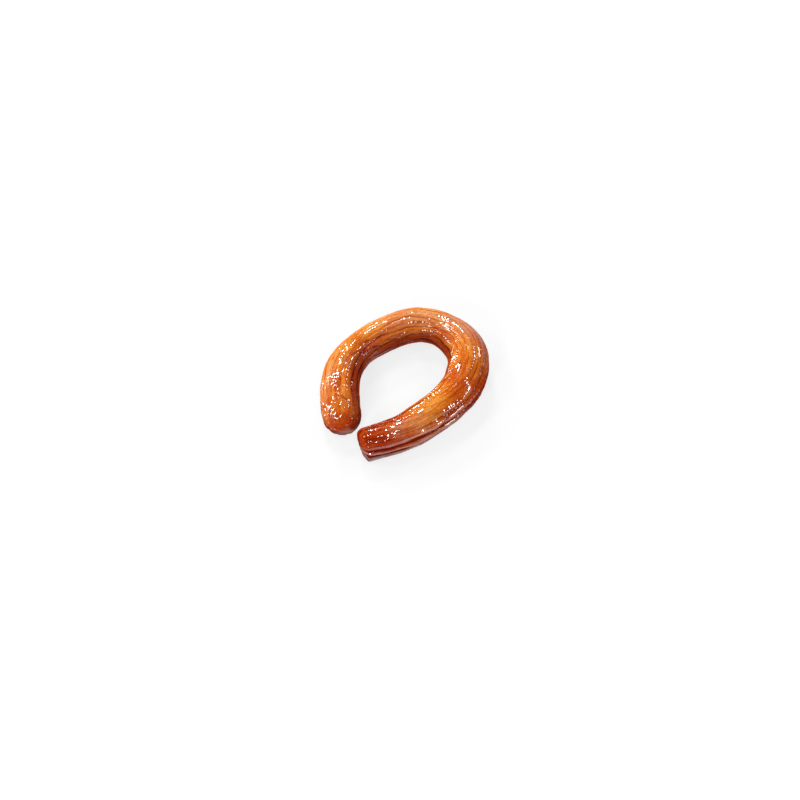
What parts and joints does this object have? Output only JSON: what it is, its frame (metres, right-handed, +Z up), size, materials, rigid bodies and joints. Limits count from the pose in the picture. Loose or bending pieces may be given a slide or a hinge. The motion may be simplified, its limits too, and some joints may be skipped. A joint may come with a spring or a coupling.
{
  "type": "churro",
  "caption": "Ring churro: a thick ridged rope of fried dough bent into an open drop-shaped loop, soaked in syrup, with one rounded end and one blunt cut end.",
  "frame": {"origin": "middle of the ring's outline seen from above, on the surface that it lies on", "axes": "+Z up through the ring's hole, -Y towards the side where the two ends nearly meet, +X towards the closed side of the loop"},
  "size_m": [0.0972, 0.1022, 0.0234],
  "materials": {
    "fried_dough": "fried dough soaked in syrup: amber with red-brown grooves, wet and shiny"
  },
  "bodies": {
    "root": {"churro": "fried_dough"}
  },
  "joints": []
}
